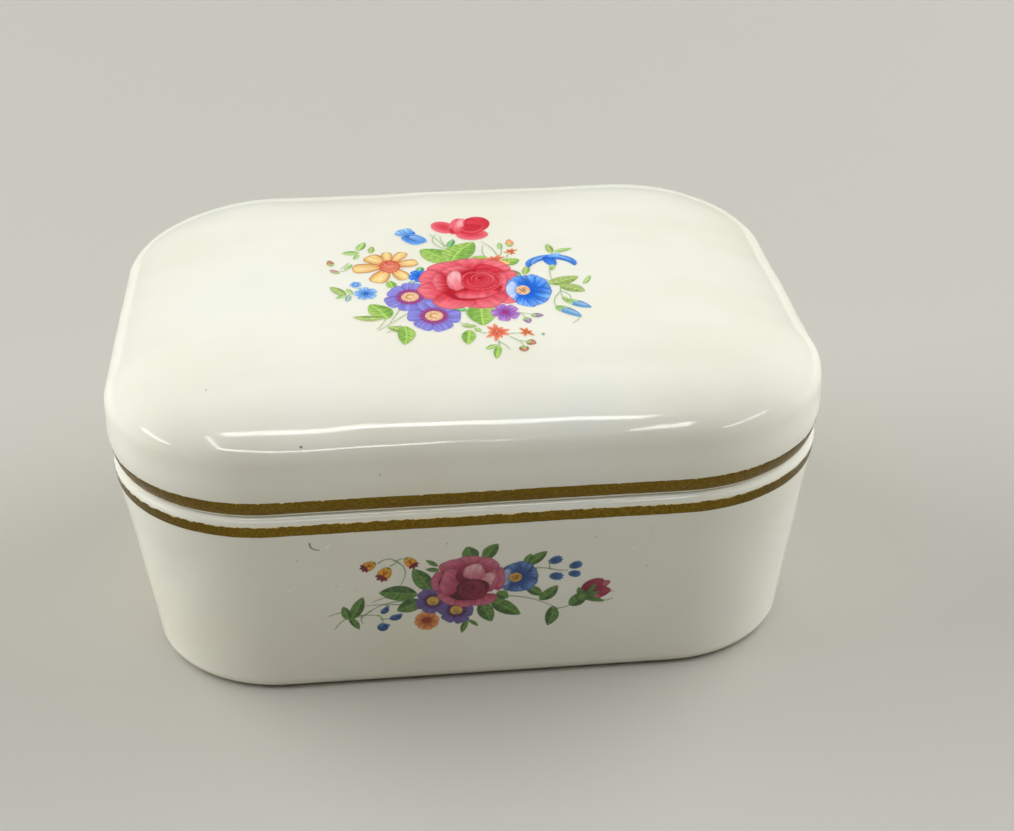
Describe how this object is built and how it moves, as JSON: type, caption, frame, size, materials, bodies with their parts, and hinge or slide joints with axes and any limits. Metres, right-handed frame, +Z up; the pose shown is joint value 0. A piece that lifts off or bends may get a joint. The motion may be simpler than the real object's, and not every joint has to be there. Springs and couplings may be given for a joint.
{
  "type": "trinket box",
  "caption": "Rounded rectangular glazed porcelain trinket box: a hollow base and a domed lift-off lid with a locating flange, a gilt line each side of the seam.",
  "frame": {"origin": "middle of the underside, on the plane that the foot ring stands on", "axes": "+X along the length, -Y towards the front, +Z up"},
  "size_m": [0.1106, 0.0906, 0.053],
  "materials": {
    "base_glaze": "glossy ivory glaze with fired flower transfers",
    "lid_glaze": "glossy ivory glaze with fired flower transfers",
    "base_gilding": "worn fired bronze-gold lustre",
    "lid_gilding": "worn fired bronze-gold lustre"
  },
  "bodies": {
    "base": {"box_base": "base_glaze", "base_gilt_band": "base_gilding"},
    "lid": {"lid": "lid_glaze", "lid_gilt_band": "lid_gilding"}
  },
  "joints": [
    {"name": "lid_lift", "type": "slide", "parent": "base", "child": "lid", "axis": [0, 0, 1], "range_m": [0, 0.05]}
  ]
}
